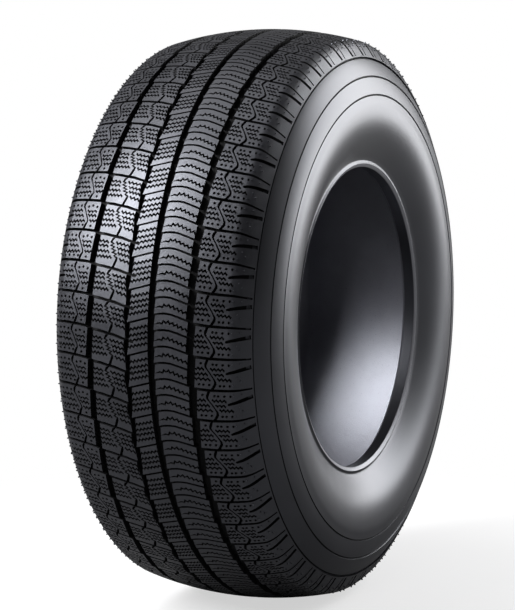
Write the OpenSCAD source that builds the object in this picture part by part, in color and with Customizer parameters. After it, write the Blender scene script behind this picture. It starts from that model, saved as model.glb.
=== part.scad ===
// A car tyre of the 275/60R15 class: one moulded and vulcanised rubber ring.
// The wheel's axis is Y, +Z is up and the origin is the wheel's centre.
// The sidewall at -Y is the outboard one, and its half of the tread has the finer pattern.

/* [Overall size] */
// Outside diameter over the middle of the tread
tyre_d = 720; // [700:2:740]
// Width of the section over the two sidewalls
section_w = 288; // [280:1:296]
// Height of the widest place over the beads' bore, as a share of the section's height
widest_at = 0.43; // [0.41:0.01:0.46]

/* [Tread] */
// Radius of the crown's arc across the tread
crown_arc_r = 425; // [400:5:470]
// Width of the crown's arc, between the two rounded shoulders
crown_w = 212; // [206:2:216]
// How far the lugs reach down over the shoulders, as a share of the section's height
lug_reach = 0.21; // [0.19:0.005:0.23]
// How far the edges where the lugs end stand in from the widest place
shoulder_in = 18; // [16:0.5:20]
// Depth of the grooves that run round the tyre
tread_depth = 8.5; // [6:0.5:9]
// Depth of the grooves that run across the tread
cross_depth = 8; // [5:0.5:8]
// Rubber and belts under the deepest grooves
under_tread = 7; // [6:0.5:9]
// Number of times that the block pattern repeats round the tyre
pitches = 61; // [58:1:64]

/* [Grooves round the tyre] */
// Distance of the two outer grooves from the middle plane
outer_groove_y = 63.9; // [60:0.5:67]
// Width of the two outer grooves
outer_groove_w = 8.5; // [7:0.5:10]
// Distance of the narrow inboard groove from the middle plane
inboard_groove_y = 14; // [12:0.5:17]
// Width of the narrow inboard groove
inboard_groove_w = 6; // [4:0.5:7]
// Distance of the wide outboard groove from the middle plane
outboard_groove_y = 17.5; // [16:0.5:20]
// Width of the wide outboard groove
outboard_groove_w = 9; // [7:0.5:10]

/* [Grooves across the tread] */
// Width of the grooves between the shoulder blocks
cross_w = 3.4; // [2.5:0.1:4.5]
// Width of the half-pitch notches over the shoulders
notch_w = 4; // [2.5:0.1:5]
// Distance from the middle plane at which those notches start
notch_start_y = 104; // [102:1:106]
// Width of the slots across the inboard centre rib
slot_w = 2.3; // [1.6:0.1:3]
// Width of the arched grooves across the outboard centre rib
arch_w = 2.5; // [1.6:0.1:3]

/* [Sidewalls] */
// Thickness of the sidewall at its widest place
side_wall = 8; // [6:0.5:10]
// Place of the upper ring line, as a share of the way from the widest place up to the lugs
ring_1_at = 0.63; // [0.58:0.01:0.68]
// Place of the lower ring line, as a share of the same way
ring_2_at = 0.265; // [0.22:0.005:0.3]
// Height of the step at the shoulder edge and at each ring line
step_h = 1.6; // [0.8:0.1:2]

/* [Beads] */
// Bore of each bead before it is stretched over its seat on the rim
bead_bore_d = 376; // [370:1:380]
// Length of the round seat in each bead
seat_len = 13; // [10:0.5:16]
// Width over the two bead faces
bead_spread = 245; // [240:1:250]
// Height of the rounded lip on each bead face
lip_h = 3.6; // [2:0.2:5]

/* [Hidden] */

// Two flat facets to a pitch, so that the facets follow the pattern
$fn = 2 * pitches;

tyre_r = tyre_d / 2;
bore_r = bead_bore_d / 2;
section_h = tyre_r - bore_r;
half_w = section_w / 2;
half_crown = crown_w / 2;
widest_r = bore_r + widest_at * section_h;
shoulder_r = tyre_r - lug_reach * section_h;
flank_h = shoulder_r - widest_r;
bead_face_y = bead_spread / 2;
pitch_len = PI * tyre_d / pitches;
full_depth = tread_depth + under_tread;

// Steps in which the curves of the section are drawn
shoulder_steps = 3;
belly_steps = 5;
liner_steps = 4;

// Spare height of the tools that cut the grooves, above the tread
clear_over = 6;

// Radius of the crown at a distance y from the middle plane
function crown_r(y) = tyre_r - crown_arc_r + sqrt(pow(crown_arc_r, 2) - y * y);

// Radius of the sidewall's arc from its widest place up to the shoulder edge
flank_arc_r = (pow(flank_h, 2) + pow(shoulder_in, 2)) / 2 / shoulder_in;

// Distance of the sidewall from the middle plane, at a radius r above the widest place
function flank_y(r) = half_w - flank_arc_r + sqrt(pow(flank_arc_r, 2) - pow(r - widest_r, 2));

// Cubic curve between a and d, with its handles at b and c
function curve(a, b, c, d, steps) = [for (i = [0:steps])
    let (t = i / steps, u = 1 - t)
    u * u * u * a + 3 * u * u * t * b + 3 * u * t * t * c + t * t * t * d];

function reversed(p) = [for (i = [len(p) - 1:-1:0]) p[i]];
function mirrored(p) = [for (q = reversed(p)) [-q[0], q[1]]];
function unit(v) = v / norm(v);
function left_of(v) = [-v[1], v[0]];

// The foot of a step down into the wall at b, square to the wall that comes from a
function step_foot(a, b) = b - step_h * left_of(unit(b - a));

// Where the facets of the crown meet: in the grooves and halfway across the ribs and rows
row_mid_y = (outer_groove_y + inboard_groove_y) / 2;
arch_mid_y = (outer_groove_y + outboard_groove_y) / 2;
shoulder_mid_y = (outer_groove_y + half_crown) / 2;
crown_ys = [
    -shoulder_mid_y, -outer_groove_y, -arch_mid_y, -outboard_groove_y,
    inboard_groove_y, row_mid_y, outer_groove_y, shoulder_mid_y
];

// One side of the section, as points (distance from the middle plane, radius)
crown_end = [half_crown, crown_r(half_crown)];
crown_run = unit([crown_end[1] - tyre_r + crown_arc_r, -half_crown]);
shoulder_edge = [half_w - shoulder_in, shoulder_r];
flank_run = unit([flank_y(shoulder_r + 1) - shoulder_edge[0], 1]);
ring_1_r = widest_r + ring_1_at * flank_h;
ring_2_r = widest_r + ring_2_at * flank_h;
ring_1 = [flank_y(ring_1_r), ring_1_r];
ring_2 = [flank_y(ring_2_r), ring_2_r];
widest = [half_w, widest_r];
bead_top = [bead_face_y, bore_r + 9];
lip_edge = [bead_face_y + lip_h, bore_r + 4.5];
bead_heel = [bead_face_y - 1, bore_r];
bead_toe = [bead_heel[0] - seat_len, bore_r];
liner_toe = [bead_toe[0] - 3, bore_r + 2.5];
liner_wide = [half_w - side_wall, widest_r];
liner_end_y = half_crown - 16;
liner_end = [liner_end_y, crown_r(liner_end_y) - full_depth];

// The rounded shoulder, from the crown down to the edge where the lugs end
shoulder_curve = curve(
    crown_end, crown_end + 0.45 * (shoulder_edge[0] - half_crown) * crown_run,
    shoulder_edge + 0.48 * (crown_end[1] - shoulder_r) * flank_run, shoulder_edge,
    shoulder_steps);

// The sidewall, from under the lugs over the two ring lines and the belly to the bead
upper_wall = [
    step_foot(shoulder_edge + flank_run, shoulder_edge),
    ring_1, step_foot(shoulder_edge, ring_1), ring_2];
ring_foot = step_foot(ring_1, ring_2);
belly_top = curve(
    ring_foot, ring_foot + [0.5, -0.1 * flank_h], widest + [0, 0.1 * flank_h], widest, 2);
belly = curve(
    widest, widest + [0, -0.157 * section_h],
    bead_top + [12, 0.128 * section_h], bead_top, belly_steps);
bead = [lip_edge, lip_edge + [-0.6, -3.2], bead_heel, bead_toe];

// The inside of the casing, from the bead's toe up to the middle of the crown
liner_side = curve(
    liner_toe, liner_toe + [0, 0.128 * section_h],
    liner_wide + [0, -0.215 * section_h], liner_wide, liner_steps);
liner_top = curve(
    liner_wide, liner_wide + [0, 0.221 * section_h],
    liner_end + [30, -8], liner_end, liner_steps);
liner_crown = [for (k = [0.5, 0]) [k * liner_end_y, crown_r(k * liner_end_y) - full_depth]];

function without_first(p) = [for (i = [1:len(p) - 1]) p[i]];
half_outside = concat(shoulder_curve, upper_wall, belly_top, without_first(belly), bead);
half_inside = concat(liner_side, without_first(liner_top), liner_crown);
section_points = concat(
    [for (y = crown_ys) [y, crown_r(y)]],
    half_outside, half_inside, without_first(mirrored(half_inside)), mirrored(half_outside));

// Spins a section drawn as (distance along the axis, radius) about the wheel's axis
module spin() {
    rotate([-90, 0, 0]) rotate_extrude() rotate(90) mirror([0, 1]) children();
}

// The cut of one groove that runs round the tyre
module ring_cut(y, w) {
    translate([y - w / 2, crown_r(y) - tread_depth])
        square([w, tread_depth + clear_over]);
}

// The casing with its four grooves round the tyre
module section() {
    difference() {
        polygon(section_points);
        ring_cut(outer_groove_y, outer_groove_w);
        ring_cut(inboard_groove_y, inboard_groove_w);
        ring_cut(-outboard_groove_y, outboard_groove_w);
        ring_cut(-outer_groove_y, outer_groove_w);
    }
}

// Both edges of a route p widened to w, with mitred bends
function edge(p, w) = [for (i = [0:len(p) - 1])
    let (a = unit(i == 0 ? p[1] - p[0] : p[i] - p[i - 1]),
         b = i == len(p) - 1 ? a : unit(p[i + 1] - p[i]),
         m = unit(left_of(a) + left_of(b)))
    p[i] + m * w / 2 / (m * left_of(a))];
function ribbon(p, w) = concat(edge(p, w), reversed(edge(p, -w)));

// A route is drawn on the tread as points (distance from the middle plane, pitches round)
function on_tread(p) = [for (q = p) [-q[1] * pitch_len, q[0]]];

// A groove with a flat floor that leans with the crown
module cross_groove(route, w) {
    a = route[0][0];
    b = route[len(route) - 1][0];
    floor_a = crown_r(a) - cross_depth;
    floor_b = crown_r(b) - cross_depth;
    translate([0, a, floor_a]) rotate([atan((floor_b - floor_a) / (b - a)), 0, 0])
        translate([0, -a, 0]) linear_extrude(cross_depth + 3 * clear_over)
            polygon(ribbon(on_tread(route), w));
}

// A straight groove that runs out over a shoulder, its floor bent down with the shoulder
module shoulder_groove(from, to, w) {
    way = sign(to[0]);
    run = (to[0] - from[0]) * way;
    slant = atan((to[1] - from[1]) * pitch_len / run) * way;
    floor_points = [
        [abs(from[0]), crown_r(from[0]) - cross_depth],
        [half_crown, crown_end[1] - cross_depth],
        [shoulder_edge[0] - 8, shoulder_r + 5],
        [half_w, shoulder_r + 1.5]];
    top = tyre_r + clear_over;
    translate([-from[1] * pitch_len, from[0], 0]) rotate(slant) translate([0, -from[0], 0])
        mirror([0, way < 0 ? 1 : 0, 0]) rotate([90, 0, 90]) linear_extrude(w, center = true)
            polygon(concat(floor_points, [[half_w, top], [abs(from[0]), top]]));
}

// Where the pattern starts next to the top of the tyre, in pitches
pattern_start = 0.146;

// Where the grooves of one pitch run, in pitches round the tyre
inboard_edge_at = 0.6;
inboard_row_at = 0.73;
hook_at = 1.13;
inboard_notch_at = 0.12;
slot_from_at = 0.55;
slot_to_at = 0.33;
arch_from_at = 0.26;
arch_top_at = 0.205;
arch_to_at = 0.42;
outboard_row_at = 0.48;
outboard_edge_at = 0.57;
outboard_notch_at = 1;

// The end of the inboard groove that hooks into the centre rib, and the crest of the arches
hook_y = inboard_groove_y - 8.5;
crest_y = outboard_groove_y + 16;

module inboard_grooves() {
    row_start = [outer_groove_y, inboard_row_at];
    shoulder_groove(row_start, [half_crown, inboard_edge_at], cross_w);
    shoulder_groove([notch_start_y, inboard_notch_at], [half_w, inboard_notch_at], notch_w);
    cross_groove([row_start, [hook_y, hook_at]], cross_w);
    cross_groove([[inboard_groove_y, slot_from_at], [-outboard_groove_y, slot_to_at]], slot_w);
}

module outboard_grooves() {
    row_start = [-outer_groove_y, outboard_row_at];
    for (half_pitch = [0, 0.5])
        cross_groove([
            [-outboard_groove_y, arch_from_at + half_pitch],
            [-crest_y + 6, arch_top_at + 0.01 + half_pitch],
            [-crest_y - 4, arch_top_at + 0.01 + half_pitch],
            [-outer_groove_y, arch_to_at + half_pitch]], arch_w);
    shoulder_groove(row_start, [-half_crown, outboard_edge_at], cross_w);
    shoulder_groove(
        [-notch_start_y, outboard_notch_at], [-half_w, outboard_notch_at - 0.27], notch_w);
}

module tyre() {
    color([0.13, 0.13, 0.14]) difference() {
        spin() section();
        for (i = [0:pitches - 1])
            rotate([0, (i - pattern_start) * 360 / pitches, 0]) {
                inboard_grooves();
                outboard_grooves();
            }
    }
}

tyre();
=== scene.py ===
"""Car tyre: a wide road tyre with a moulded block tread, plain sidewalls and two beads.

The tread is drawn flat, as the plan of one pitch of the pattern. The plan is cut into triangles, sunk to
the depth of its grooves and cuts, and wrapped round the section as often as the pattern repeats.
"""

import math

import bmesh
import bpy
import numpy as np
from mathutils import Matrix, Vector
from mathutils.geometry import delaunay_2d_cdt


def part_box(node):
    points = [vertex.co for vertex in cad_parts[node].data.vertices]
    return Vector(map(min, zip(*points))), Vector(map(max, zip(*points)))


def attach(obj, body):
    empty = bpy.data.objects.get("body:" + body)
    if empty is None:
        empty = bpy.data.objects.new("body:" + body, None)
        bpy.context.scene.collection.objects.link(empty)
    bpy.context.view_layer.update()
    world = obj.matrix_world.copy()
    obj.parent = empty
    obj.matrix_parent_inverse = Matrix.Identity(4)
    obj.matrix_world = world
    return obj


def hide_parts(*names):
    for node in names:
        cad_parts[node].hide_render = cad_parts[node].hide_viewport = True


bl_info = {
    "name": "Car Tyre",
    "version": (1, 0, 0),
    "blender": (4, 5, 0),
    "location": "View3D > Sidebar > Tyre",
    "description": "Builds a road tyre with its moulded tread, and the studio that it stands in",
    "category": "Add Mesh",
}

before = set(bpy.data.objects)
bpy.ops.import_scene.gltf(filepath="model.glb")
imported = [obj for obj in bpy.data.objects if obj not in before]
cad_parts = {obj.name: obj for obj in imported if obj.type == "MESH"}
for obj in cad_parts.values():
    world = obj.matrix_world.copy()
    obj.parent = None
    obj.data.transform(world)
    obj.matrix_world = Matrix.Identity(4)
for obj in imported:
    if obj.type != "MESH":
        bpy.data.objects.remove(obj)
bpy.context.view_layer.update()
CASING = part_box("tyre")

MM = 0.001

# Vertices closer than this are joined, and edges that bend by more than this are sharp
JOIN_WITHIN = 2e-6
SHARP_ANGLE = math.radians(32)

# How far the tread's underside, and the casing's crown that covers it, lie under the floor of the grooves
TREAD_UNDERSIDE = 2.7 * MM
CASING_CROWN = 1.2 * MM

# The tread is built in two parts, which meet in the middle of the groove here
TREAD_SPLIT = -17.0 * MM

# The longest edge along the side of a groove that runs round the tyre: a third of a pitch
LONGEST_EDGE = 12.4 * MM

# The camera's lens and sensor in millimetres, and how far right of and above the axis it aims
LENS, SENSOR = 123.96, 36.0
AIM_RIGHT, AIM_UP = -0.01813, 0.01034

# Half the side of the floor, and the softboxes: name, way to it (right, up, back), size and power
FLOOR_REACH = 30.0
LAMP_DISTANCE = 2.4
LAMPS = (
    ("left_softbox", (-0.74, 0.56, 0.37), (1.2, 1.6), 116),
    ("right_softbox", (0.80, 0.38, -0.46), (1.3, 1.8), 58),
    ("top_softbox", (-0.34, 0.94, 0.0), (1.8, 1.6), 14))


# Properties

class TyreSizes(bpy.types.PropertyGroup):
    """Sizes of the tyre's section"""

    outside_radius: bpy.props.FloatProperty(
        name="Outside radius", description="Radius over the middle of the tread",
        default=CASING[1][2], min=0.2, max=0.6, subtype="DISTANCE", unit="LENGTH")
    half_width: bpy.props.FloatProperty(
        name="Half width", description="Distance from the middle plane to the widest place of the sidewall",
        default=CASING[1][1], min=0.05, max=0.3, subtype="DISTANCE", unit="LENGTH")
    widest_radius: bpy.props.FloatProperty(
        name="Radius of the widest place", description="Radius at which the section is widest",
        default=0.26196, min=0.1, max=0.5, subtype="DISTANCE", unit="LENGTH")
    crown_arc: bpy.props.FloatProperty(
        name="Crown arc", description="Radius of the crown's arc across the tread",
        default=0.425, min=0.2, max=2.0, subtype="DISTANCE", unit="LENGTH")
    half_crown: bpy.props.FloatProperty(
        name="Half crown", description="Half the width of the crown's arc, up to the rounded shoulder",
        default=0.106, min=0.04, max=0.2, subtype="DISTANCE", unit="LENGTH")
    shoulder_radius: bpy.props.FloatProperty(
        name="Shoulder radius", description="Radius of the edges where the lugs end",
        default=0.32388, min=0.15, max=0.5, subtype="DISTANCE", unit="LENGTH")
    shoulder_inset: bpy.props.FloatProperty(
        name="Shoulder inset", description="How far those edges stand in from the widest place",
        default=0.018, min=0.005, max=0.05, subtype="DISTANCE", unit="LENGTH")
    wall: bpy.props.FloatProperty(
        name="Sidewall thickness", description="Thickness of the sidewall at its widest place",
        default=0.008, min=0.003, max=0.02, subtype="DISTANCE", unit="LENGTH")
    crown_wall: bpy.props.FloatProperty(
        name="Crown thickness", description="Thickness of the crown, its blocks included",
        default=0.0155, min=0.008, max=0.03, subtype="DISTANCE", unit="LENGTH")
    upper_ring: bpy.props.FloatProperty(
        name="Upper ring line", description="Radius of the upper ring line of the sidewall",
        default=0.30097, min=0.1, max=0.5, subtype="DISTANCE", unit="LENGTH")
    lower_ring: bpy.props.FloatProperty(
        name="Lower ring line", description="Radius of the lower ring line of the sidewall",
        default=0.27837, min=0.1, max=0.5, subtype="DISTANCE", unit="LENGTH")
    ring_step: bpy.props.FloatProperty(
        name="Ring step", description="Height of the step under the lugs",
        default=0.0016, min=0.0, max=0.005, subtype="DISTANCE", unit="LENGTH")
    ring_rise: bpy.props.FloatProperty(
        name="Ring rise", description="Height of the step at each ring line",
        default=0.0006, min=0.0, max=0.005, subtype="DISTANCE", unit="LENGTH")
    ring_groove: bpy.props.FloatProperty(
        name="Ring groove", description="Width of the fine groove at the foot of each step",
        default=0.0023, min=0.0005, max=0.004, subtype="DISTANCE", unit="LENGTH")
    bead_radius: bpy.props.FloatProperty(
        name="Bead radius", description="Radius of the bore of the beads",
        default=0.188, min=0.1, max=0.4, subtype="DISTANCE", unit="LENGTH")
    bead_face: bpy.props.FloatProperty(
        name="Bead face", description="Distance of the bead's face from the middle plane",
        default=0.1225, min=0.05, max=0.3, subtype="DISTANCE", unit="LENGTH")
    seat_length: bpy.props.FloatProperty(
        name="Seat length", description="Length of the round seat in each bead",
        default=0.013, min=0.005, max=0.03, subtype="DISTANCE", unit="LENGTH")
    lip: bpy.props.FloatProperty(
        name="Bead lip", description="Height of the bevelled lip on the bead's face",
        default=0.0014, min=0.0, max=0.01, subtype="DISTANCE", unit="LENGTH")


class TreadSizes(bpy.types.PropertyGroup):
    """Sizes of the block pattern"""

    pitches: bpy.props.IntProperty(
        name="Pitches", description="Number of times that the pattern repeats round the tyre",
        default=61, min=20, max=120)
    pattern_start: bpy.props.FloatProperty(
        name="Pattern start", description="Where the pattern starts next to the top, in pitches",
        default=0.146, min=0.0, max=1.0)
    depth: bpy.props.FloatProperty(
        name="Groove depth", description="Depth of the grooves between the blocks",
        default=0.0083, min=0.002, max=0.015, subtype="DISTANCE", unit="LENGTH")
    shoulder_depth: bpy.props.FloatProperty(
        name="Shoulder depth", description="Depth of the grooves where they end below the shoulder",
        default=0.0045, min=0.001, max=0.01, subtype="DISTANCE", unit="LENGTH")
    sipe_width: bpy.props.FloatProperty(
        name="Sipe width", description="Width of the fine wavy cuts in the blocks",
        default=0.0021, min=0.0003, max=0.003, subtype="DISTANCE", unit="LENGTH")
    sipe_depth: bpy.props.FloatProperty(
        name="Sipe depth", description="Depth of the fine wavy cuts in the blocks",
        default=0.0035, min=0.0005, max=0.008, subtype="DISTANCE", unit="LENGTH")
    sipe_wave: bpy.props.FloatProperty(
        name="Sipe wave", description="Height of the waves of the fine cuts, to each side",
        default=0.0012, min=0.0, max=0.003, subtype="DISTANCE", unit="LENGTH")
    pit_diameter: bpy.props.FloatProperty(
        name="Pit diameter", description="Diameter of the round pits in the blocks",
        default=0.0036, min=0.0005, max=0.006, subtype="DISTANCE", unit="LENGTH")
    nub_diameter: bpy.props.FloatProperty(
        name="Nub diameter", description="Diameter of the moulding nubs along the shoulders",
        default=0.0021, min=0.0005, max=0.005, subtype="DISTANCE", unit="LENGTH")
    nub_height: bpy.props.FloatProperty(
        name="Nub height", description="Height of the moulding nubs along the shoulders",
        default=0.0017, min=0.0, max=0.005, subtype="DISTANCE", unit="LENGTH")


class RubberLook(bpy.types.PropertyGroup):
    """Finish of the rubber"""

    rubber: bpy.props.FloatVectorProperty(
        name="Rubber", description="Colour of the rubber", subtype="COLOR",
        size=3, min=0.0, max=1.0, default=(0.011, 0.011, 0.013))
    # A real pale film on the tread and sidewalls; five to six times paler, it is also the liner's colour,
    # which is painted light
    bloom_and_painted_light: bpy.props.FloatVectorProperty(
        name="Bloom", description="Colour of the pale film that new rubber sweats out", subtype="COLOR",
        size=3, min=0.0, max=1.0, default=(0.016, 0.016, 0.019))
    # Painted highlight: the bevel round the bead gets this paler colour, which stands in for the light that
    # the bead's lip catches
    bevel: bpy.props.FloatVectorProperty(
        name="Bevel", description="Colour of the bevel round the bead, painted paler", subtype="COLOR",
        size=3, min=0.0, max=1.0, default=(0.15, 0.15, 0.165))
    sheen: bpy.props.FloatVectorProperty(
        name="Sheen", description="Tint of the rubber's reflections", subtype="COLOR",
        size=3, min=0.0, max=1.0, default=(0.86, 0.89, 1.0))
    gloss: bpy.props.FloatProperty(
        name="Gloss", description="Strength of the rubber's reflections", default=0.8, min=0.0, max=1.0)
    tread_roughness: bpy.props.FloatProperty(
        name="Tread roughness", description="Roughness of the blocks", default=0.38, min=0.0, max=1.0)
    wall_roughness: bpy.props.FloatProperty(
        name="Sidewall roughness", description="Roughness of the sidewalls", default=0.37, min=0.0, max=1.0)
    grain: bpy.props.FloatProperty(
        name="Grain", description="Size of the mould's fine grain",
        default=0.0007, min=0.0001, max=0.01, subtype="DISTANCE", unit="LENGTH")


class StudioLook(bpy.types.PropertyGroup):
    """The studio round the tyre"""

    backdrop: bpy.props.FloatVectorProperty(
        name="Floor", description="Colour of the floor", subtype="COLOR",
        size=3, min=0.0, max=1.0, default=(0.88, 0.88, 0.89))
    azimuth: bpy.props.FloatProperty(
        name="Azimuth", description="Way that the camera looks, from +Y round to -X",
        default=math.radians(-65.2), subtype="ANGLE", unit="ROTATION")
    elevation: bpy.props.FloatProperty(
        name="Elevation", description="Height of the camera above the axis, as an angle",
        default=math.radians(5.71), subtype="ANGLE", unit="ROTATION")
    distance: bpy.props.FloatProperty(
        name="Distance", description="Distance of the camera from the wheel's centre",
        default=2.682, min=0.5, max=20.0, subtype="DISTANCE", unit="LENGTH")


# Lines on a plane

def bezier(a, b, c, d, steps):
    """Points of a cubic curve from a to d, with its handles at b and c."""
    a, b, c, d = (np.asarray(p, float) for p in (a, b, c, d))
    t = np.linspace(0.0, 1.0, steps + 1)[:, None]
    return (1 - t) ** 3 * a + 3 * (1 - t) ** 2 * t * b + 3 * (1 - t) * t * t * c + t ** 3 * d


def unit(v):
    """The vector v at length 1."""
    v = np.asarray(v, float)
    return v / np.linalg.norm(v)


def left_of(v):
    """The vector v turned a quarter turn to the left."""
    return np.array([-v[1], v[0]])


def beside(route, offsets):
    """The route moved to its left by the offsets, with mitred bends."""
    out = []
    for i, p in enumerate(route):
        a = unit(route[1] - route[0] if i == 0 else p - route[i - 1])
        b = a if i == len(route) - 1 else unit(route[i + 1] - p)
        m = unit(left_of(a) + left_of(b))
        out.append(p + m * offsets[i] / np.dot(m, left_of(a)))
    return np.array(out)


def fine(route, longest):
    """The route with points added on every stretch over the longest length."""
    out = [route[0]]
    for a, b in zip(route[:-1], route[1:]):
        count = max(1, math.ceil(np.linalg.norm(b - a) / longest - 1e-6))
        out.extend(a + (b - a) * k / count for k in range(1, count + 1))
    return np.array(out)


def circle(centre, radius, corners):
    """The corners of a regular polygon."""
    turns = 2 * math.pi * (np.arange(corners) + 0.5) / corners
    return np.asarray(centre) + radius * np.column_stack([np.cos(turns), np.sin(turns)])


# The section of the tyre

class Section:
    """The outline of the section, as (distance from the middle plane, radius)."""

    def __init__(self, sizes):
        self.sizes = s = sizes
        rise, inset = s.shoulder_radius - s.widest_radius, s.shoulder_inset
        self.flank_arc = (rise ** 2 + inset ** 2) / 2 / inset
        crown_end = np.array([s.half_crown, self.crown_r(s.half_crown)])
        self.edge = np.array([s.half_width - inset, s.shoulder_radius])
        run = unit([crown_end[1] - s.outside_radius + s.crown_arc, -s.half_crown])
        up = unit([self.flank_y(s.shoulder_radius + MM) - self.edge[0], MM])
        shoulder = bezier(
            crown_end, crown_end + 0.45 * (self.edge[0] - s.half_crown) * run,
            self.edge + 0.48 * (crown_end[1] - s.shoulder_radius) * up, self.edge, 60)
        crown = [(y, self.crown_r(y)) for y in np.linspace(0.0, s.half_crown, 80)]
        self.line = np.vstack([crown[:-1], shoulder])
        steps = np.linalg.norm(np.diff(self.line, axis=0), axis=1)
        self.arc = np.concatenate([[0.0], np.cumsum(steps)])
        self.length = self.arc[-1]
        ways = np.gradient(self.line, self.arc, axis=0)
        self.outward = np.column_stack([-ways[:, 1], ways[:, 0]])
        self.outward /= np.linalg.norm(self.outward, axis=1)[:, None]

    def crown_r(self, y):
        """Radius of the crown at a distance y from the middle plane."""
        s = self.sizes
        return s.outside_radius - s.crown_arc + math.sqrt(s.crown_arc ** 2 - y * y)

    def flank_y(self, r):
        """Distance of the sidewall from the middle plane at a radius r above the widest place."""
        s = self.sizes
        return s.half_width - self.flank_arc + math.sqrt(self.flank_arc ** 2 - (r - s.widest_radius) ** 2)

    def along(self, y):
        """Length over the tread from its middle to a distance y from the middle plane."""
        return np.sign(y) * np.interp(np.abs(y), self.line[:, 0], self.arc)

    def place(self, along, depth):
        """Distance from the middle plane, and radius, of points sunk into the tread."""
        far = np.abs(along)
        y, r, out_y, out_r = (
            np.interp(far, self.arc, column) for column in (*self.line.T, *self.outward.T))
        return np.sign(along) * (y - depth * out_y), r - depth * out_r

    def wall(self):
        """The outside of one side, from the shoulder's edge to the bead's toe, and its sunk points."""
        s = self.sizes

        def groove(top, way, step):
            """The step down from a point, and the fine groove at its foot."""
            out, width = left_of(way), s.ring_groove
            bottom = top - (step + 0.5 * width) * out
            return [bottom + 0.2 * width * way, bottom + 0.6 * width * way, top + width * way - step * out]

        def flank(high, low, step):
            """The flank between two steps, which eases back to its full width."""
            points = np.array([[self.flank_y(r), r] for r in np.linspace(high, low, 6)])
            way = unit(points[1] - points[0])
            ease = np.linspace(1.0, 0.0, len(points))[1:, None]
            return [*groove(points[0], way, step), *(points[1:] - ease * step * left_of(way))]

        upper = flank(s.shoulder_radius, s.upper_ring, s.ring_step)
        lower = flank(s.upper_ring, s.lower_ring, s.ring_rise)
        last = groove(lower[-1], unit(lower[-1] - lower[-2]), s.ring_rise)
        widest = np.array([s.half_width, s.widest_radius])
        rise, height = s.shoulder_radius - s.widest_radius, s.outside_radius - s.bead_radius
        belly_top = bezier(
            last[-1], last[-1] + [0.5 * MM, -0.1 * rise], widest + [0, 0.1 * rise], widest, 5)
        top = np.array([s.bead_face, s.bead_radius + 9 * MM])
        belly = bezier(
            widest, widest + [0, -0.157 * height], top + [12 * MM, 0.128 * height], top, 14)
        lip = np.array([s.bead_face + s.lip, s.bead_radius + 4.6 * MM])
        lip_out = bezier(top, top + [-0.8 * MM, -1.8 * MM], lip + [-0.9 * MM, 1.6 * MM], lip, 4)
        heel = np.array([s.bead_face - MM, s.bead_radius])
        bevel = [lip + k * (heel - lip) + [0.3 * MM, 0.2 * MM] for k in (0.1, 0.5, 0.9)]
        toe = heel - [s.seat_length, 0.0]
        points = [*upper, *lower, *last, *belly_top[1:], *belly[1:], *lip_out[1:], *bevel, heel, toe]
        grooves = [0, len(upper), len(upper) + len(lower)]
        return np.array(points), [i + k for i in grooves for k in (0, 1)]

    def liner(self):
        """The inside of one side, from the bead's toe to the middle of the crown."""
        s = self.sizes
        height = s.outside_radius - s.bead_radius
        toe = np.array([s.bead_face - s.seat_length - 4 * MM, s.bead_radius + 2.5 * MM])
        wide = np.array([s.half_width - s.wall, s.widest_radius])
        end_y = s.half_crown - 16 * MM
        end = np.array([end_y, self.crown_r(end_y) - s.crown_wall])
        side = bezier(toe, toe + [0, 0.128 * height], wide + [0, -0.215 * height], wide, 8)
        top = bezier(wide, wide + [0, 0.221 * height], end + [30 * MM, -8 * MM], end, 9)
        crown = np.array([[y, self.crown_r(y) - s.crown_wall] for y in np.linspace(end_y, 0, 5)])
        return np.vstack([side, top[1:], crown[1:]])


# The plan of one pitch of the tread

# The pattern is drawn between 0 and 2 pitches, so these copies of it meet in the first pitch
TURNS = (-2, -1, 0)


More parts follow.
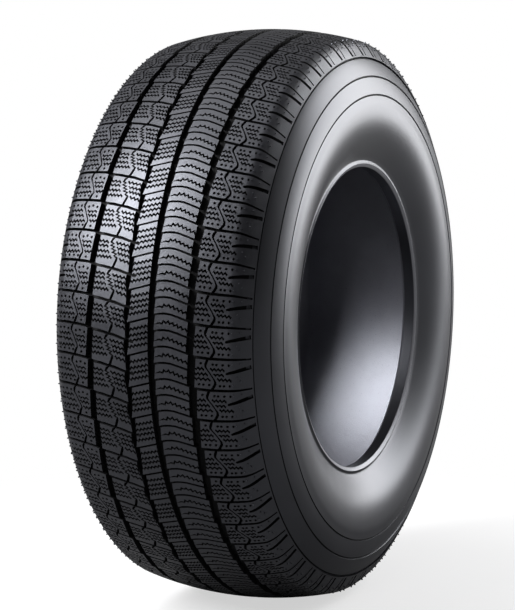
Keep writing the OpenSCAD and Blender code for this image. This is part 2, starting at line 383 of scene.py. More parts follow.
class Plan:
    """The tread drawn flat: length over the tread from its middle, and length round the tyre."""

    def __init__(self, section, tread):
        self.section = section
        self.tread = tread
        self.pitch = 2 * math.pi * section.sizes.outside_radius / tread.pitches
        self.points = []
        self.depths = []
        self.edges = []
        self.cuts = []
        self.folds = []

    def route(self, stops):
        """Places on the plan, from millimetres off the middle plane and pitches round."""
        return np.array([[self.section.along(y * MM), w * self.pitch] for y, w in stops])

    def add_line(self, points, depths=None, closed=False):
        """Adds a line on which the plan is cut, and gives the numbers of its points."""
        first = len(self.points)
        self.points.extend(tuple(p) for p in points)
        self.depths.extend([0.0] * len(points) if depths is None else depths)
        numbers = list(range(first, len(self.points)))
        self.edges.extend(zip(numbers, numbers[1:] + numbers[:1] if closed else numbers[1:]))
        return numbers

    def add_cut(self, outline):
        """Adds an area that is sunk to the floor of the grooves."""
        x, y = outline.T
        if np.sum(x * np.roll(y, -1) - np.roll(x, -1) * y) < 0:
            outline = outline[::-1]
        first = len(self.points)
        self.points.extend(tuple(p) for p in outline)
        self.depths.extend([0.0] * len(outline))
        self.cuts.append(list(range(first, len(self.points))))

    def add_channel(self, middle, side):
        """Adds one half of a groove that runs round the tyre, from its middle to one of its sides."""
        side = self.route(side)
        centre = self.section.along(middle * MM)
        start, end = np.array([centre, side[0][1]]), np.array([centre, side[-1][1]])
        self.add_cut(fine(np.vstack([start, side, end, start]), LONGEST_EDGE)[:-1])

    def add_groove(self, stops, widths, round_start=False, round_end=False):
        """Adds a groove across the tread, as wide as the widths in millimetres at its stops."""
        route = self.route(stops)
        half = np.broadcast_to(np.asarray(widths, float) * MM / 2, len(route))
        left, right = beside(route, half), beside(route, -half)
        end, start = [], []
        if round_end:
            out = 0.8 * half[-1] * unit(route[-1] - route[-2])
            end = [0.75 * left[-1] + 0.25 * right[-1] + out, 0.25 * left[-1] + 0.75 * right[-1] + out]
        if round_start:
            out = 0.8 * half[0] * unit(route[0] - route[1])
            start = [0.75 * right[0] + 0.25 * left[0] + out, 0.25 * right[0] + 0.75 * left[0] + out]
        self.add_cut(np.array([*left, *end, *right[::-1], *start]))

    def add_fold(self, route, widths, depths):
        """Adds a cut with a section like a V. It runs out to a point where its width is 0."""
        half = np.broadcast_to(np.asarray(widths, float) / 2, len(route))
        deep = np.where(half > 0, depths, 0.0)
        self.add_line(beside(route, half))
        self.add_line(route, list(deep))
        self.add_line(beside(route, -half))
        self.folds.append((route, deep))

    def add_sipe(self, stops, open_start=False, open_end=False, swing=1.0, wave=4.8, plain=0.0):
        """Adds a fine wavy cut, plain at first for a length in mm. An open end runs on into a groove."""
        t = self.tread
        stops = self.route(stops)
        arc = np.concatenate([[0.0], np.cumsum(np.linalg.norm(np.diff(stops, axis=0), axis=1))])
        start = plain * MM
        waves = max(2, round((arc[-1] - start) / (wave * MM)))
        at = start + (arc[-1] - start) * (np.arange(2 * waves) + 0.5) / (2 * waves)
        route = [stops[0]]
        for i, length in enumerate(at):
            a, b = (
                np.array([np.interp(x, arc, stops[:, k]) for k in (0, 1)])
                for x in (length - MM, length + MM))
            side = 1.0 if i % 2 == 0 else -1.0
            route.append((a + b) / 2 + side * swing * t.sipe_wave * left_of(unit(b - a)))
        route = np.array([*route, stops[-1]])
        widths = np.full(len(route), t.sipe_width)
        widths[0] *= open_start
        widths[-1] *= open_end
        self.add_fold(route, widths, t.sipe_depth)

    def add_pit(self, y, w):
        """Adds a round pit."""
        centre = self.route([(y, w)])[0]
        self.add_line(circle(centre, self.tread.pit_diameter / 2, 6), closed=True)
        self.add_line([centre], [self.tread.pit_diameter])

    def add_nub(self, y, w):
        """Adds a small round nub that stands out of the surface."""
        t = self.tread
        centre = self.route([(y, w)])[0]
        self.add_line(circle(centre, t.nub_diameter / 2, 5), closed=True)
        self.add_line(circle(centre, 0.35 * t.nub_diameter, 5), [-0.85 * t.nub_height] * 5, closed=True)
        self.add_line([centre], [-t.nub_height])

    def add_bends(self, count):
        """Adds lines along both shoulders, where the surface bends most."""
        start = self.section.along(self.section.sizes.half_crown)
        for along in np.linspace(start, self.section.length, count + 1)[:-1]:
            for side in (-along, along):
                self.add_line([(side, self.pitch * k / 3) for k in range(4)])

    def add_spread(self, gap, clear):
        """Adds points all over the plan, clear of its lines, so that no triangle spans far."""
        pairs = list(self.edges)
        for outline in self.cuts:
            pairs.extend(zip(outline, outline[1:] + outline[:1]))
        points = np.array(self.points)
        a, b = (points[[p[i] for p in pairs]] for i in (0, 1))
        a, b = (np.vstack([e + [0.0, turn * self.pitch] for turn in TURNS]) for e in (a, b))
        span = b - a
        length = np.maximum((span ** 2).sum(1), 1e-18)
        reach = self.section.along(self.section.sizes.half_crown) - clear
        rows = max(1, round(self.pitch / gap))
        for i, x in enumerate(np.arange(-reach, reach, gap)):
            for k in range(rows):
                p = np.array([x, self.pitch * (k + 0.25 + 0.5 * (i % 2)) / rows])
                t = np.clip(((p - a) * span).sum(1) / length, 0.0, 1.0)
                if np.linalg.norm(a + t[:, None] * span - p, axis=1).min() > clear:
                    self.add_line([p])

    def fold_depth(self, p, folds):
        """Depth of the fold whose bottom runs through a place, or 0."""
        for route, deep in folds:
            a, span = route[:-1], route[1:] - route[:-1]
            t = np.clip(((p - a) * span).sum(1) / (span ** 2).sum(1), 0.0, 1.0)
            off = np.linalg.norm(a + t[:, None] * span - p, axis=1)
            i = int(off.argmin())
            if off[i] < 0.002 * MM:
                return float(deep[i] + t[i] * (deep[i + 1] - deep[i]))
        return 0.0

    def floor_depth(self, along):
        """Depth of the floor of the grooves, which comes up over the shoulder."""
        bend = self.section.along(self.section.sizes.half_crown)
        t = np.clip((np.abs(along) - bend) / (self.section.length - bend), 0.0, 1.0)
        return self.tread.depth + t * (self.tread.shoulder_depth - self.tread.depth)

    def triangles(self, segments, splits):
        """Cuts the plan up: its points, their depths, and the triangles left standing and sunk."""
        reach, pitch = self.section.length, self.pitch
        points, depths, edges, cuts, folds = [], [], [], [], []
        for turn in TURNS:
            first, shift = len(points), np.array([0.0, turn * pitch])
            points.extend(tuple(np.array(p) + shift) for p in self.points)
            depths.extend(self.depths)
            edges.extend((a + first, b + first) for a, b in self.edges)
            cuts.extend([i + first for i in outline] for outline in self.cuts)
            folds.extend((route + shift, deep) for route, deep in self.folds)
        corners = []
        for side in (-reach, reach):
            first = len(points)
            corners.append(first)
            points.extend((side, pitch * j / segments) for j in range(segments + 1))
            depths.extend([0.0] * (segments + 1))
            edges.extend((first + j, first + j + 1) for j in range(segments))
        edges.extend([(corners[0] + j, corners[1] + j) for j in (0, segments)])
        for split in splits:
            edges.append((len(points), len(points) + 1))
            points.extend([(split, 0.0), (split, pitch)])
            depths.extend([0.0, 0.0])
        # In millimetres: output type 0 keeps every triangle, and points 0.0001 mm apart are one
        flat, _, triangles, origins, _, sources = delaunay_2d_cdt(
            [Vector((x / MM, y / MM)) for x, y in points], edges, cuts, 0, 1e-4, True)
        flat = np.array([(v.x, v.y) for v in flat]) * MM
        standing, sunk = [], []
        for triangle, source in zip(triangles, sources):
            x, y = flat[list(triangle)].mean(0)
            if 0.0 < y < pitch and abs(x) < reach:
                (sunk if source else standing).append(tuple(triangle))
        depth = np.zeros(len(flat))
        for i in {i for triangle in standing for i in triangle}:
            given = [depths[j] for j in origins[i] if depths[j]]
            depth[i] = given[0] if given else self.fold_depth(flat[i], folds)
        return flat, depth, standing, sunk


def draw_pattern(plan):
    """Draws the grooves, cuts, pits and nubs of one pitch, from the inboard side to the outboard one."""
    # Grooves that run round the tyre: each side steps back where a cross groove meets it
    plan.add_channel(64.5, [(67.3, 0.70), (70.8, 1.70)])
    plan.add_channel(64.5, [(58.8, 0.775), (62.0, 1.775)])
    plan.add_channel(14.6, [(17.5, 1.035), (18.7, 1.25), (16.4, 1.6), (15.7, 2.035)])
    plan.add_channel(14.6, [(9.2, 0.53), (10.3, 0.9), (11.0, 1.2), (13.6, 1.53)])
    plan.add_channel(-17.0, [(-12.7, 0.345), (-12.7, 1.345)])
    for half in (0.0, 0.5):
        plan.add_channel(-17.0, [(-21.8, 0.243 + half), (-20.2, 0.743 + half)])
    plan.add_channel(-64.5, [(-61.2, 0.40), (-58.5, 1.40)])
    plan.add_channel(-64.5, [(-70.4, 0.487), (-67.2, 1.487)])

    # Grooves across the tread
    plan.add_groove(
        [(125.0, 0.581), (118, 0.59), (110, 0.60), (100, 0.605), (90, 0.63), (80, 0.655), (70, 0.69),
         (64, 0.745), (60, 0.78), (50, 0.82), (40, 0.88), (30, 0.93), (20, 1.015), (15, 1.045),
         (10, 1.085), (6.5, 1.12)],
        [3.4] * 12 + [3.2, 3.0, 2.8, 2.6], round_end=True)
    plan.add_groove([(105.7, 0.12), (110, 0.12), (118, 0.12), (125.0, 0.12)], [3.0, 3.1, 3.4, 3.6], True)
    plan.add_groove([(15.5, 0.558), (13.5, 0.545), (-12.5, 0.36), (-15.0, 0.342)], 2.3)
    for half in (0.0, 0.5):
        plan.add_groove(
            [(y, w + half) for y, w in (
                (-18.0, 0.26), (-21, 0.245), (-26, 0.215), (-33, 0.205), (-40, 0.225), (-50, 0.305),
                (-60, 0.395), (-63.0, 0.422))], 2.5)
    plan.add_groove(
        [(-62.8, 0.464), (-70, 0.49), (-85, 0.54), (-100, 0.557), (-110, 0.565), (-118, 0.585),
         (-125.0, 0.603)], [3.5, 3.5, 3.5, 3.4, 3.0, 2.4, 2.3])
    plan.add_groove(
        [(-104.5, 1.013), (-108, 0.987), (-116, 0.935), (-125.0, 0.872)], [3.0, 3.6, 4.4, 5.0], True)

    # Curved thin grooves in the middle of three rows
    thin, wide = 1.6, 3.3
    for stops in (
            [(88.7, 0.63, wide), (90.6, 0.77, wide), (91, 0.86, 2.4), (88.5, 0.97, 1.6),
             (86, 1.12, thin), (82.8, 1.30, thin), (82.2, 1.38, 2.0), (84.5, 1.47, wide),
             (86.7, 1.635, wide)],
            [(39.0, 0.89, wide), (41, 0.96, wide), (43.3, 1.06, 2.2), (39.6, 1.115, thin),
             (43.2, 1.17, thin), (37.8, 1.225, thin), (41.4, 1.28, thin), (36.2, 1.335, thin),
             (40.0, 1.39, thin), (34.2, 1.445, thin), (37.0, 1.50, thin), (33.0, 1.57, 2.2),
             (33.7, 1.64, wide), (37.3, 1.88, wide)],
            [(-83.8, 0.55), (-81.3, 0.72), (-81, 0.79, 2.4), (-83, 0.88, thin), (-86, 1.0, thin),
             (-89, 1.14, thin), (-91.2, 1.26, 2.4), (-91.2, 1.35), (-87.3, 1.52)]):
        widths = np.array([(stop + (wide,))[2] for stop in stops])
        plan.add_fold(
            plan.route([stop[:2] for stop in stops]), widths * MM, (2.4 + widths) * MM)

    # Fine wavy cuts
    for start, end, open_start, open_end in (
            ((110, 0.975), (91.8, 0.975), 0, 0), ((104, 1.125), (88.5, 1.175), 0, 0),
            ((112, 1.34), (85.6, 1.34), 0, 0), ((86.0, 1.02), (70.3, 1.05), 0, 0),
            ((84.2, 1.16), (70, 1.20), 0, 0), ((80.5, 1.35), (67.0, 1.38), 0, 1),
            ((61.5, 1.0), (45.6, 1.07), 1, 0), ((61.7, 1.14), (45.4, 1.20), 1, 0),
            ((62.3, 1.32), (43.6, 1.375), 1, 0), ((62.8, 1.49), (39.4, 1.55), 1, 0),
            ((37.5, 1.085), (17.0, 1.20), 0, 1), ((35.4, 1.25), (16.5, 1.37), 0, 1),
            ((33.4, 1.41), (16.0, 1.53), 0, 1), ((30.6, 1.60), (15.2, 1.72), 0, 1),
            ((-67.5, 0.83), (-80.0, 0.86), 1, 0), ((-67.0, 1.0), (-84.0, 1.03), 1, 0),
            ((-66.5, 1.15), (-87.0, 1.2), 1, 0), ((-85.6, 0.87), (-103, 0.90), 0, 0),
            ((-89.0, 1.03), (-102, 1.06), 0, 0), ((-93.0, 1.19), (-110, 1.23), 0, 0)):
        plan.add_sipe([start, end], open_start, open_end)
    for start_y, middle in ((14.0, 0.68), (14.0, 0.87), (9.3, 1.03), (13.0, 1.21)):
        plan.add_sipe([(start_y, middle + 0.006 * start_y), (-14.0, middle - 0.084)], 1, 1)
    for half in (0.0, 0.5):
        plan.add_sipe(
            [(y, w + half) for y, w in (
                (-19.4, 0.557), (-27.0, 0.535), (-30.0, 0.478), (-33.5, 0.455), (-38.5, 0.465),
                (-44.0, 0.52), (-52.0, 0.605), (-58.0, 0.67), (-61.8, 0.69))],
            False, False, 1.1, 5.4, 7.0)

    # Round pits, and the nubs that the mould's vents leave
    for y, w in (
            (107.5, 0.80), (101.7, 0.795), (95.5, 0.815), (84.2, 0.87), (78.3, 0.85), (72, 0.90),
            (107.5, 1.455), (101.5, 1.455), (94.5, 1.465), (88.6, 1.48), (76.6, 1.53), (44.6, 1.39),
            (35, 1.25), (-76, 0.68), (-89.5, 0.72), (-93.6, 0.73), (-100.5, 0.74), (-107, 0.745),
            (-73, 1.34), (-78, 1.35), (-84.5, 1.36), (-96.5, 1.40), (-101, 1.405), (-107, 1.41)):
        plan.add_pit(y, w)
    for y, w in (
            (112, 0.455), (112, 0.80), (118, 0.38), (118, 0.76), (114, 0.24), (114.5, 0.985),
            (-110.5, 0.40), (-110.5, 0.735), (-117, 0.28), (-117.5, 0.72), (-114.5, 0.15)):
        plan.add_nub(y, w)


# The meshes of the tyre

class Pitch:
    """One pitch of a part of the tread: corners as (off the middle plane, radius, length round)."""

    def __init__(self, plan, cut, low, high):
        self.plan = plan
        self.section = plan.section
        self.corners = []
        self.faces = []
        self.sunk = []
        flat, depth, standing, sunk = cut
        floor = plan.floor_depth(flat[:, 0])
        number = {}
        ends = {low: {}, high: {}}

        def corner(i, is_floor):
            key = (i, is_floor)
            if key not in number:
                number[key] = self.add_corner(*flat[i], floor[i] if is_floor else depth[i])
                for end, found in ends.items():
                    if abs(flat[i][0] - end) < 1e-7:
                        found[flat[i][1]] = number[key]
            return number[key]

        sunk_edges = set()
        for a, b, c in sunk:
            if low < flat[[a, b, c], 0].mean() < high:
                self.add_face([corner(i, True) for i in (a, b, c)], True)
                sunk_edges.update([(a, b), (b, c), (c, a)])
        for a, b, c in standing:
            if low < flat[[a, b, c], 0].mean() < high:
                self.add_face([corner(i, False) for i in (a, b, c)], depth[[a, b, c]].max() > 0.1 * MM)
                for p, q in ((a, b), (b, c), (c, a)):
                    if (q, p) in sunk_edges:
                        wall = [corner(q, False), corner(p, False), corner(p, True), corner(q, True)]
                        self.add_face(wall, True)
        self.close(low, high, *[[found[w] for w in sorted(found)] for found in ends.values()])

    def add_corner(self, along, turn, depth):
        """Adds a corner at a place and depth of the tread, and gives its number."""
        y, r = self.section.place(along, depth)
        self.corners.append((float(y), float(r), turn))
        return len(self.corners) - 1

    def add_face(self, numbers, sunk=False):
        """Adds a face. It is sunk if it lies in a groove or cut."""
        self.faces.append(numbers)
        self.sunk.append(sunk)

    def close(self, low, high, low_rim, high_rim):
        """Closes the part with an underside, and with a hidden side where it meets the next part."""
        hidden = self.plan.tread.depth + TREAD_UNDERSIDE
        bend = self.section.along(self.section.sizes.half_crown)
        turns = self.plan.pitch * np.arange(4) / 3
        rings = [low_rim]
        # The rings of the underside keep this far from the part's ends
        inset = 14 * MM
        for end, rim in ((low, low_rim), (high, high_rim)):
            if end == high:
                for along in np.linspace(-bend, bend, 5):
                    if low + inset < along < high - inset:
                        rings.append([self.add_corner(along, turn, hidden) for turn in turns])
            if abs(end) < bend:
                rings.append([self.add_corner(end, self.corners[i][2], hidden) for i in rim])
            else:
                # Beside the shoulder's edge, inside the casing
                y, r = self.section.edge - [5 * MM, -0.3 * MM]
                first = len(self.corners)
                self.corners.extend((float(np.sign(end) * y), float(r), turn) for turn in turns)
                rings.append(list(range(first, first + 4)))
        rings.append(high_rim)
        for a, b in zip(rings, rings[1:]):
            if len(a) == len(b):
                for i in range(len(a) - 1):
                    self.add_face([a[i], a[i + 1], b[i + 1], b[i]])
            else:
                self.add_face([*a, *b[::-1]])


def spin(points, turns):
    """Rings of vertices: each point (off the middle plane, radius) at each turn from +X to +Z."""
    return np.vstack([
        np.column_stack([r * np.cos(turns), np.full(len(turns), y), r * np.sin(turns)])
        for y, r in points])


def ring_faces(rings, around):
    """The faces between closed rings of vertices, in the order in which spin gives them."""
    faces = []
    for i in range(rings):
        a, b = i * around, (i + 1) % rings * around
        faces.extend([a + (j + 1) % around, a + j, b + j, b + (j + 1) % around] for j in range(around))
    return faces


def closed_mesh(name, vertices, faces, materials):
    """A closed mesh with its normals outward, its vertices joined, and its sharp edges marked."""
    mesh = bpy.data.meshes.new(name)
    mesh.from_pydata(vertices.tolist(), [], faces)
    mesh.polygons.foreach_set("material_index", materials)
    bm = bmesh.new()
    bm.from_mesh(mesh)
    bmesh.ops.remove_doubles(bm, verts=bm.verts, dist=JOIN_WITHIN)
    bmesh.ops.recalc_face_normals(bm, faces=bm.faces)
    open_edges = sum(1 for e in bm.edges if not e.is_contiguous)
    if open_edges:
        raise RuntimeError(f"{name} isn't closed: {open_edges} edges are open")
    bm.to_mesh(mesh)
    bm.free()
    mesh.polygons.foreach_set("use_smooth", [True] * len(mesh.polygons))
    mesh.set_sharp_from_angle(angle=SHARP_ANGLE)
    return mesh


def tread_meshes(sizes, tread, splits, names):
    """Builds the parts of the tread: material 0 on the blocks, and 1, with painted shade, in the grooves
    and cuts.
    """
    section = Section(sizes)
    plan = Plan(section, tread)
    draw_pattern(plan)
    plan.add_bends(5)
    plan.add_spread(14 * MM, 2 * MM)
    splits = [section.along(y) for y in splits]
    cut = plan.triangles(3, splits)
    start = math.pi / 2 + 2 * math.pi * tread.pattern_start / tread.pitches
    ends = [-section.length, *splits, section.length]
    meshes = []
    for name, low, high in zip(names, ends, ends[1:]):
        pitch = Pitch(plan, cut, low, high)
        y, r, turn = np.array(pitch.corners).T
        vertices, faces = [], []
        for k in range(tread.pitches):
            angle = start + turn / sizes.outside_radius + 2 * math.pi * k / tread.pitches
            faces.extend([i + k * len(y) for i in face] for face in pitch.faces)
            vertices.append(np.column_stack([r * np.cos(angle), y, r * np.sin(angle)]))
        materials = [int(sunk) for sunk in pitch.sunk] * tread.pitches
        meshes.append(closed_mesh(name, np.vstack(vertices), faces, materials))
    return meshes


def casing_mesh(sizes, tread, name):
    """Builds the casing: material 0 on its sides and beads, 1 on the liner (painted light), 2 in the ring
    grooves (painted shade).
    """
    section = Section(sizes)
    (wall, grooves), liner = section.wall(), section.liner()
    hidden = tread.depth + CASING_CROWN
    crown = [
        np.array(section.place(section.along(k * sizes.half_crown), hidden))
        for k in (0.0, 0.35, 0.7, 1.0)]
    half = np.vstack([crown, wall, liner])
    ring = np.vstack([half, half[-2:0:-1] * [-1.0, 1.0]])
    around = 4 * tread.pitches
    start = tread.pattern_start / tread.pitches
    turns = math.pi / 2 + 2 * math.pi * (start + np.arange(around) / around)
    strips = np.zeros(len(ring), int)
    outside = len(crown) + len(wall) - 1
    strips[outside:len(ring) - outside] = 1
    for i in grooves:
        strips[len(crown) + i] = 2
        strips[len(ring) - len(crown) - i - 1] = 2
    return closed_mesh(
        name, spin(ring, turns), ring_faces(len(ring), around), np.repeat(strips, around).tolist())


# Materials

class Value:
    """A number that changes over a surface. A sum on it adds Math nodes to the material."""

    def __init__(self, surface, socket):
        self.surface = surface
        self.socket = socket

    def math(self, operation, *values):
        """Adds a Math node with these values."""
        return self.surface.math(operation, *values)

    def __add__(self, other):
        return self.math("ADD", self, other)

    def __radd__(self, other):
        return self.math("ADD", other, self)

    def __sub__(self, other):
        return self.math("SUBTRACT", self, other)

    def __rsub__(self, other):
        return self.math("SUBTRACT", other, self)

    def __mul__(self, other):
        return self.math("MULTIPLY", self, other)

    def __rmul__(self, other):
        return self.math("MULTIPLY", other, self)

    def __pow__(self, other):
        return self.math("POWER", self, other)


class Surface:
    """A node tree: that of a new material, or of the world that is given."""

    def __init__(self, name, owner=None):
        self.owner = owner or bpy.data.materials.new(name)
        self.owner.use_nodes = True
        self.tree = self.owner.node_tree
        self.tree.nodes.clear()

    def add(self, kind, settings=None, sockets=None, out=0):
        """Adds a node of a type, with its settings and then the values or links of its sockets."""
        node = self.tree.nodes.new(kind)
        for name, value in (settings or {}).items():
            setattr(node, name, value)
        for name, value in (sockets or {}).items():
            if isinstance(value, Value):
                self.tree.links.new(value.socket, node.inputs[name])
            else:
                node.inputs[name].default_value = value
        return Value(self, node.outputs[out] if node.outputs else None)

    def math(self, operation, *values):
        """Adds a Math node with these values."""
        return self.add("ShaderNodeMath", {"operation": operation}, dict(enumerate(values)))

    def blend(self, factor, a, b):
        """A colour between a and b."""
        return self.add("ShaderNodeMix", {"data_type": "RGBA"}, {0: factor, 6: a, 7: b}, out=2)

    def step(self, value, low, high):
        """0 where the value is under low, 1 where it is over high, and smooth between."""
        return self.add(
            "ShaderNodeMapRange", {"interpolation_type": "SMOOTHSTEP"},
            {"Value": value, "From Min": low, "From Max": high})

    def noise(self, place, size, detail=2.0, roughness=0.5):
        """Cloudy noise with features of a size."""
        return self.add(
            "ShaderNodeTexNoise", None,
            {"Vector": place, "Scale": 1.0 / size, "Detail": detail, "Roughness": roughness})

    def place(self):
        """The place on the object."""
        return self.add("ShaderNodeTexCoord", out="Object")

    def split(self, place):
        """The three numbers of a place."""
        node = self.add("ShaderNodeSeparateXYZ", None, {0: place}).socket.node
        return [Value(self, socket) for socket in node.outputs]

    def finish(self, shader):
        """Makes the shader the surface of the material."""
        self.add("ShaderNodeOutputMaterial", None, {"Surface": shader})
        return self.owner


def colour(values, times=1.0):
    """A colour made paler or darker, with its alpha."""
    return (*[times * c for c in values], 1.0)


def grey(level):
    """A grey with its alpha."""
    return (level, level, level, 1.0)


def finish_rubber(s, look, base, rough, height, strength, deep=0.4 * MM):
    """Finishes a surface with its grain, and with the gloss that the rubber has all over."""
    normal = s.add("ShaderNodeBump", None, {"Height": height, "Strength": strength, "Distance": deep})
    return s.finish(s.add("ShaderNodeBsdfPrincipled", None, {
        "Base Color": base, "Roughness": rough, "Normal": normal,
        "Specular IOR Level": look.gloss, "Specular Tint": colour(look.sheen)}))


def tread_rubber(look):
    """Satin moulded blocks, a little paler where the pale film of new rubber lies."""
    s = Surface("tread_rubber")
    place = s.place()
    cloud = s.noise(place, 0.045, 4.0, 0.6)
    speck = s.noise(place, 0.0025, 3.0, 0.6)
    grain = s.noise(place, look.grain, 2.0, 0.6)
    film = s.step(cloud * 0.7 + speck * 0.3, 0.36, 0.64)
    base = s.blend(film, colour(look.rubber), colour(look.bloom_and_painted_light))
    height = grain * 0.7 + speck * 0.3
    rough = look.tread_roughness + (film - 0.5) * 0.10 + (speck - 0.5) * 0.10
    return finish_rubber(s, look, base, rough, height, 0.35)


def groove_painted_shade(look):
    """Dull black rubber for the grooves and cuts: painted shade, darker than the blocks and with weak
    reflections.
    """
    s = Surface("groove_painted_shade")
    grain = s.noise(s.place(), look.grain, 2.0, 0.6)
    normal = s.add("ShaderNodeBump", None, {"Height": grain, "Strength": 0.3, "Distance": 0.4 * MM})
    # Painted shade: the base colour is a quarter to a half of the rubber's, so that the grooves look dark
    return s.finish(s.add("ShaderNodeBsdfPrincipled", None, {
        "Base Color": s.blend(grain, colour(look.rubber, 0.25), colour(look.rubber, 0.5)),
        "Roughness": 0.62 + grain * 0.1, "Normal": normal, "Specular IOR Level": 0.2}))


def wall_rubber(look, sizes):
    """Smooth polished sidewall with the mould's fine lathe marks, and a painted highlight: a paler ring on
    the bevel round the bead.
    """
    s = Surface("wall_rubber")
    place = s.place()
    x, y, z = s.split(place)
    radius, off = (x * x + z * z) ** 0.5, s.math("ABSOLUTE", y)
    cloud = s.noise(place, 0.08, 3.0, 0.5)
    grain = s.noise(place, look.grain, 2.0, 0.6)
    base = s.blend(s.step(cloud, 0.38, 0.66), colour(look.rubber), colour(look.bloom_and_painted_light))
    # Painted highlight: a pale ring on the bevel, from just off the bore to 4.7 mm out
    bore = sizes.bead_radius
    bevel = s.step(radius, bore + 0.2 * MM, bore + 0.5 * MM) * (
        1.0 - s.step(radius, bore + 4.2 * MM, bore + 4.7 * MM))
    base = s.blend(bevel, base, colour(look.bevel))
    ring = s.add("ShaderNodeCombineXYZ", None, {"X": radius * 900.0, "Y": off * 300.0})
    lathe = s.add("ShaderNodeTexNoise", None, {"Vector": ring, "Scale": 1.0, "Detail": 1.0})
    height = grain * 0.6 + lathe * 0.4
    rough = look.wall_roughness + (cloud - 0.5) * 0.03 + (grain - 0.5) * 0.04
    return finish_rubber(s, look, base, rough, height, 0.05)


def liner_rubber(look):
    """The smooth inner liner, with a fine grain, painted much paler than the rubber as painted light inside
    the tyre.
    """
    s = Surface("liner_rubber")
    place = s.place()
    cloud = s.noise(place, 0.05, 3.0, 0.5)
    grain = s.noise(place, 2.4 * look.grain, 3.0, 0.7)
    # Painted light: the liner's base is five to six times the pale film's colour, so that the inside of the
    # tyre looks lit
    base = s.blend(s.step(cloud, 0.35, 0.65), colour(look.bloom_and_painted_light, 5.0), colour(look.bloom_and_painted_light, 6.0))
    rough = look.wall_roughness - 0.08 + (grain - 0.5) * 0.10
    return finish_rubber(s, look, base, rough, grain, 0.35, 0.6 * MM)


def studio_floor(look):
    """A pale floor that keeps the tyre's shadow and fades into white. It throws little light back up."""
    s = Surface("studio_floor")
    place = s.place()
    x, y, _ = s.split(place)
    camera = s.add("ShaderNodeLightPath", out="Is Camera Ray")
    glossy = s.add("ShaderNodeLightPath", out="Is Glossy Ray")
    grain = s.noise(place, 0.02, 2.0, 0.5)
    pale = s.blend(grain, colour(look.backdrop), colour(look.backdrop, 0.98))
    matt = s.add("ShaderNodeBsdfDiffuse", None, {
        "Color": s.blend(camera, colour(look.backdrop, 0.2), pale)})
    white = s.add("ShaderNodeEmission", None, {
        "Color": s.blend(camera, grey(0.35), grey(1.0)), "Strength": 1.0})
    far = s.step((x * x + y * y) ** 0.5, 0.4, 0.9)
    seen = far * s.math("MAXIMUM", camera, glossy) + (1.0 - far) * camera * 0.6
    return s.finish(s.add("ShaderNodeMixShader", None, {0: seen, 1: matt, 2: white}))


# The studio

def look_at(thing, target):
    """Points an object's -Z axis at a place."""
    thing.rotation_euler = (Vector(target) - thing.location).to_track_quat("-Z", "Y").to_euler()


def add_lamp(name, place, size, power):
    """Adds a softbox that points at the tyre."""
    data = bpy.data.lights.new(name, "AREA")
    data.shape = "RECTANGLE"
    data.size, data.size_y = size
    data.energy = power
    lamp = bpy.data.objects.new(name, data)
    bpy.context.scene.collection.objects.link(lamp)
    lamp.location = place
    look_at(lamp, (0, 0, 0))


def add_world(behind):
    """A soft grey room. The camera sees it white, and reflections see it dark, with a dim backdrop."""
    world = bpy.data.worlds.new("studio")
    s = Surface("studio", world)
    way = s.add("ShaderNodeTexCoord", out="Generated")
    facing = s.add(
        "ShaderNodeVectorMath", {"operation": "DOT_PRODUCT"}, {0: way, 1: behind}, out="Value")
    glossy = s.add("ShaderNodeLightPath", out="Is Glossy Ray")
    camera = s.add("ShaderNodeLightPath", out="Is Camera Ray")
    mirrored = s.blend(s.step(facing, -0.1, 0.35), grey(0.08), grey(0.18))
    room = s.blend(glossy, grey(0.30), mirrored)
    light = s.add("ShaderNodeBackground", None, {
        "Color": s.blend(camera, room, grey(1.0)), "Strength": 1.0})
    s.add("ShaderNodeOutputWorld", None, {"Surface": light})
    bpy.context.scene.world = world


# Operators

def add_rubber(mesh, materials):
    """Puts a moulded piece of the tyre into the scene, in place of the CAD solid."""
    for material in materials:
        mesh.materials.append(material)
    piece = bpy.data.objects.new(mesh.name, mesh)
    bpy.context.scene.collection.objects.link(piece)
    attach(piece, "root")
    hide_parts("tyre")


class MESH_OT_tyre_casing(bpy.types.Operator):
    """Build the casing: the sidewalls with their ring lines, the beads and the liner"""

    bl_idname = "mesh.tyre_casing_add"
    bl_label = "Casing"
    bl_options = {"REGISTER", "UNDO"}

    def execute(self, context):
        scene = context.scene
        look = scene.tyre_rubber
        mesh = casing_mesh(scene.tyre_sizes, scene.tyre_tread, "tyre_casing")
        add_rubber(mesh, [wall_rubber(look, scene.tyre_sizes), liner_rubber(look), groove_painted_shade(look)])
        return {"FINISHED"}


class MESH_OT_tyre_tread(bpy.types.Operator):
    """Build the two parts of the tread: blocks and grooves, with fine cuts, pits and moulding nubs"""

    bl_idname = "mesh.tyre_tread_add"
    bl_label = "Tread"
    bl_options = {"REGISTER", "UNDO"}

    def execute(self, context):
        scene = context.scene
        materials = [tread_rubber(scene.tyre_rubber), groove_painted_shade(scene.tyre_rubber)]
        names = ["tyre_tread_outboard", "tyre_tread_inboard"]
        for mesh in tread_meshes(scene.tyre_sizes, scene.tyre_tread, [TREAD_SPLIT], names):
            add_rubber(mesh, materials)
        return {"FINISHED"}


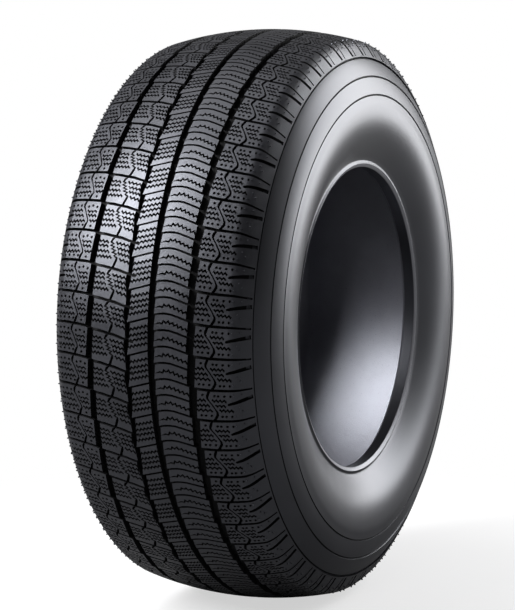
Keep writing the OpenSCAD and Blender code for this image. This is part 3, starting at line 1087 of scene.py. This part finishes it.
class SCENE_OT_tyre_studio(bpy.types.Operator):
    """Build the studio: the floor, the lamps, the world and the camera"""

    bl_idname = "scene.tyre_studio_add"
    bl_label = "Studio"
    bl_options = {"REGISTER", "UNDO"}

    def execute(self, context):
        scene = context.scene
        look = scene.tyre_studio
        side = FLOOR_REACH
        mesh = bpy.data.meshes.new("studio_floor")
        mesh.from_pydata(
            [(-side, -side, 0), (side, -side, 0), (side, side, 0), (-side, side, 0)], [], [(0, 1, 2, 3)])
        mesh.materials.append(studio_floor(look))
        floor = bpy.data.objects.new("studio_floor", mesh)
        floor.location.z = -scene.tyre_sizes.outside_radius
        scene.collection.objects.link(floor)

        a, e = look.azimuth, look.elevation
        back = Vector((math.sin(a) * math.cos(e), -math.cos(a) * math.cos(e), math.sin(e)))
        right = Vector((math.cos(a), math.sin(a), 0.0))
        camera = bpy.data.objects.new("camera", bpy.data.cameras.new("camera"))
        camera.data.lens = LENS
        camera.data.sensor_width = SENSOR
        camera.data.clip_end = 100.0
        camera.location = look.distance * back
        look_at(camera, AIM_RIGHT * right + AIM_UP * back.cross(right))
        scene.collection.objects.link(camera)
        scene.camera = camera

        above = Vector((0, 0, 1))
        for name, (x, y, z), size, power in LAMPS:
            add_lamp(name, LAMP_DISTANCE * (x * right + y * above + z * back), size, power)
        add_world(-back)
        scene.view_settings.view_transform = "Standard"
        return {"FINISHED"}


class VIEW3D_PT_road_tyre(bpy.types.Panel):
    """The tyre's sizes and finishes, and the buttons that build it"""

    bl_label = "Car Tyre"
    bl_idname = "VIEW3D_PT_road_tyre"
    bl_space_type = "VIEW_3D"
    bl_region_type = "UI"
    bl_category = "Tyre"

    def draw(self, context):
        scene = context.scene
        for title, group in (
                ("Section", scene.tyre_sizes), ("Tread", scene.tyre_tread),
                ("Rubber", scene.tyre_rubber), ("Studio", scene.tyre_studio)):
            box = self.layout.box()
            box.label(text=title)
            for name in group.__annotations__:
                box.prop(group, name)
        for operator in (MESH_OT_tyre_casing, MESH_OT_tyre_tread, SCENE_OT_tyre_studio):
            self.layout.operator(operator.bl_idname)


CLASSES = (
    TyreSizes, TreadSizes, RubberLook, StudioLook, MESH_OT_tyre_casing, MESH_OT_tyre_tread,
    SCENE_OT_tyre_studio, VIEW3D_PT_road_tyre)


def register():
    """Registers the classes, and their properties on the scene."""
    for each in CLASSES:
        bpy.utils.register_class(each)
    bpy.types.Scene.tyre_sizes = bpy.props.PointerProperty(type=TyreSizes)
    bpy.types.Scene.tyre_tread = bpy.props.PointerProperty(type=TreadSizes)
    bpy.types.Scene.tyre_rubber = bpy.props.PointerProperty(type=RubberLook)
    bpy.types.Scene.tyre_studio = bpy.props.PointerProperty(type=StudioLook)


def unregister():
    """Takes the properties and the classes away again."""
    for name in ("tyre_sizes", "tyre_tread", "tyre_rubber", "tyre_studio"):
        delattr(bpy.types.Scene, name)
    for each in reversed(CLASSES):
        bpy.utils.unregister_class(each)


def main():
    """Builds the tyre and its studio."""
    register()
    bpy.ops.mesh.tyre_casing_add()
    bpy.ops.mesh.tyre_tread_add()
    bpy.ops.scene.tyre_studio_add()


if __name__ == "__main__":
    main()
